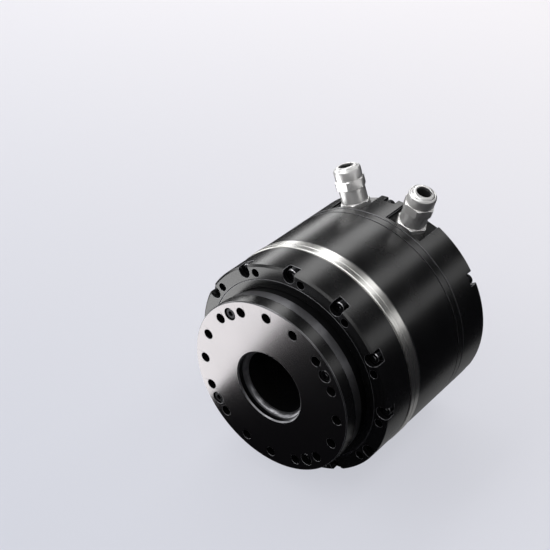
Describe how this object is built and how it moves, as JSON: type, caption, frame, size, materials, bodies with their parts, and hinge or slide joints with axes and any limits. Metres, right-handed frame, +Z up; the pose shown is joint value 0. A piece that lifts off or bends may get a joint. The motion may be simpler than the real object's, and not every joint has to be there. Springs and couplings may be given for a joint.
{
  "type": "robot joint actuator",
  "caption": "Hollow-shaft rotary robot joint actuator: black cylindrical housing with a bright steel band, a bolted output flange that turns, and two cable glands at the rear.",
  "frame": {"origin": "on the axis of rotation, in the plane of the housing's front mounting face", "axes": "+Y along the axis of rotation, from the output flange towards the rear cover; +Z up, midway between the two cable glands; +X to the right of someone who faces the output flange"},
  "size_m": [0.1106, 0.1006, 0.1267],
  "materials": {
    "black_anodised_aluminium": "satin black anodised over fine turning",
    "turned_bearing_steel": "bright, fine turned",
    "hub_steel": "dark grey, turned",
    "bearing_steel": "ground",
    "black_oxide_screws": "black oxide",
    "roller_cage_polymer": "moulded polyamide",
    "seal_rubber": "moulded nitrile rubber",
    "electrical_steel": "stacked laminations",
    "magnet": "nickel-plated sintered magnet",
    "copper_windings": "enamelled copper wire",
    "brake_steel": "phosphated steel",
    "encoder_disc": "etched metal disc",
    "circuit_board": "glass-epoxy board with solder mask",
    "electronic_parts": "moulded packages",
    "nickel_plated_brass": "bright nickel plate"
  },
  "bodies": {
    "housing": {"front_housing": "black_anodised_aluminium", "seal_retainer": "black_anodised_aluminium", "main_bearing_outer_ring": "turned_bearing_steel", "circular_spline": "turned_bearing_steel", "motor_housing": "black_anodised_aluminium", "rear_bearing_plate": "black_anodised_aluminium", "rear_cover": "black_anodised_aluminium", "front_housing_screws": "black_oxide_screws", "rear_cover_screws": "black_oxide_screws", "output_seal": "seal_rubber", "rear_tube_seal": "seal_rubber", "front_bearing_outer_ring": "bearing_steel", "rear_bearing_outer_ring": "bearing_steel", "stator_core": "electrical_steel", "stator_coils": "copper_windings", "brake_magnet_body": "brake_steel", "brake_coil": "copper_windings", "brake_end_plate": "brake_steel", "brake_posts": "bearing_steel", "drive_board": "circuit_board", "board_posts": "bearing_steel", "encoder_readheads": "electronic_parts", "power_transistors": "electronic_parts", "left_gland_body": "nickel_plated_brass", "left_gland_nut": "nickel_plated_brass", "left_gland_insert": "seal_rubber", "right_gland_body": "nickel_plated_brass", "right_gland_nut": "nickel_plated_brass", "right_gland_insert": "seal_rubber"},
    "output": {"output_flange": "black_anodised_aluminium", "output_hub": "hub_steel", "flange_screws": "black_oxide_screws", "main_bearing_inner_ring": "bearing_steel", "inner_ring_clamp": "bearing_steel", "flexspline": "bearing_steel", "flexspline_screws": "black_oxide_screws", "hollow_tube": "black_anodised_aluminium", "output_encoder_disc": "encoder_disc"},
    "roller_set": {"crossed_rollers": "bearing_steel", "roller_cage": "roller_cage_polymer"},
    "rotor": {"motor_shaft": "bearing_steel", "rotor_core": "electrical_steel", "rotor_magnets": "magnet", "front_bearing_inner_ring": "bearing_steel", "rear_bearing_inner_ring": "bearing_steel", "wave_generator_plug": "bearing_steel", "wave_generator_clip": "bearing_steel", "wave_bearing_inner_ring": "bearing_steel", "wave_bearing_balls": "bearing_steel", "wave_bearing_outer_ring": "bearing_steel", "brake_disc": "brake_steel", "motor_encoder_disc": "encoder_disc"},
    "shaft_balls": {"front_bearing_balls": "bearing_steel", "rear_bearing_balls": "bearing_steel"},
    "armature": {"brake_armature": "brake_steel"}
  },
  "joints": [
    {"name": "output_spin", "type": "hinge", "parent": "housing", "child": "output", "pos_m": [0, 0, 0], "axis": [0, 1, 0], "continuous": true, "deforming": ["flexspline"]},
    {"name": "roller_orbit", "type": "hinge", "parent": "housing", "child": "roller_set", "pos_m": [0, 0, 0], "axis": [0, 1, 0], "continuous": true},
    {"name": "rotor_spin", "type": "hinge", "parent": "housing", "child": "rotor", "pos_m": [0, 0, 0], "axis": [0, 1, 0], "continuous": true},
    {"name": "ball_orbit", "type": "hinge", "parent": "housing", "child": "shaft_balls", "pos_m": [0, 0, 0], "axis": [0, 1, 0], "continuous": true},
    {"name": "brake_release", "type": "slide", "parent": "housing", "child": "armature", "axis": [0, -1, 0], "range_m": [0, 0.0003], "stiffness_N_per_m": 5000, "springref_m": -0.004}
  ],
  "couplings": [
    {"joint": "roller_orbit", "follows": "output_spin", "ratio": 0.47469},
    {"joint": "rotor_spin", "follows": "output_spin", "ratio": -50},
    {"joint": "ball_orbit", "follows": "output_spin", "ratio": -23.152}
  ]
}
